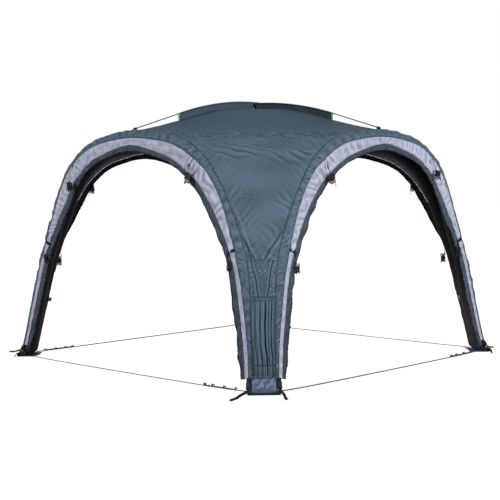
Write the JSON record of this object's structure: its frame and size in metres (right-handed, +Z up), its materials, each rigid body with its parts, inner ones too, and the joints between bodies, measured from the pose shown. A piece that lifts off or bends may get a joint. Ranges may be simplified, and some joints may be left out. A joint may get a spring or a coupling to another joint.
{
  "type": "inflatable shelter",
  "caption": "Square camping shelter with air beams arched along its sides, a cloth canopy over them, open doorways and crossed roof poles.",
  "frame": {"origin": "on the ground under the middle of the shelter", "axes": "+Z up, +X and +Y square to two neighbouring doorways, feet on the diagonals"},
  "size_m": [3.684, 3.8366, 2.372],
  "materials": {
    "canopy_cloth": "matt coated polyester",
    "light_cloth": "matt coated polyester",
    "dark_cloth": "matt coated polyester",
    "beam": "soft black film, cloth sleeve over the upper part",
    "pole": "smooth black",
    "pouch": "coated sheet, satin",
    "webbing": "woven black",
    "valve": "moulded, satin",
    "cord": "braided"
  },
  "bodies": {
    "root": {"canopy": "canopy_cloth", "leg_panel_1": "canopy_cloth", "leg_panel_2": "canopy_cloth", "leg_panel_3": "canopy_cloth", "leg_panel_4": "canopy_cloth", "air_beam_1": "beam", "beam_cover_1": "canopy_cloth", "eave_strip_1": "light_cloth", "eave_band_1_1": "dark_cloth", "eave_band_1_2": "dark_cloth", "air_beam_2": "beam", "beam_cover_2": "canopy_cloth", "eave_strip_2": "light_cloth", "eave_band_2_1": "dark_cloth", "eave_band_2_2": "dark_cloth", "air_beam_3": "beam", "beam_cover_3": "canopy_cloth", "eave_strip_3": "light_cloth", "eave_band_3_1": "dark_cloth", "eave_band_3_2": "dark_cloth", "air_beam_4": "beam", "beam_cover_4": "canopy_cloth", "eave_strip_4": "light_cloth", "eave_band_4_1": "dark_cloth", "eave_band_4_2": "dark_cloth", "roof_pole_1": "pole", "roof_pole_2": "pole", "pole_sleeve_1": "dark_cloth", "pole_sleeve_2": "dark_cloth", "pole_sleeve_3": "dark_cloth", "pole_sleeve_4": "dark_cloth", "foot_pouch_1": "pouch", "foot_base_1": "webbing", "foot_pouch_2": "pouch", "foot_base_2": "webbing", "foot_pouch_3": "pouch", "foot_base_3": "webbing", "foot_pouch_4": "pouch", "foot_base_4": "webbing", "valve_1": "valve", "valve_2": "valve", "valve_3": "valve", "valve_4": "valve", "ground_cord_1": "cord", "ground_cord_2": "cord", "ground_cord_3": "cord", "ground_cord_4": "cord", "foot_strap_1_1": "webbing", "foot_strap_1_2": "webbing", "foot_strap_2_1": "webbing", "foot_strap_2_2": "webbing", "foot_strap_3_1": "webbing", "foot_strap_3_2": "webbing", "foot_strap_4_1": "webbing", "foot_strap_4_2": "webbing", "tied_line_1_1": "cord", "tied_line_1_2": "cord", "tied_line_2_1": "cord", "tied_line_2_2": "cord"}
  },
  "joints": []
}
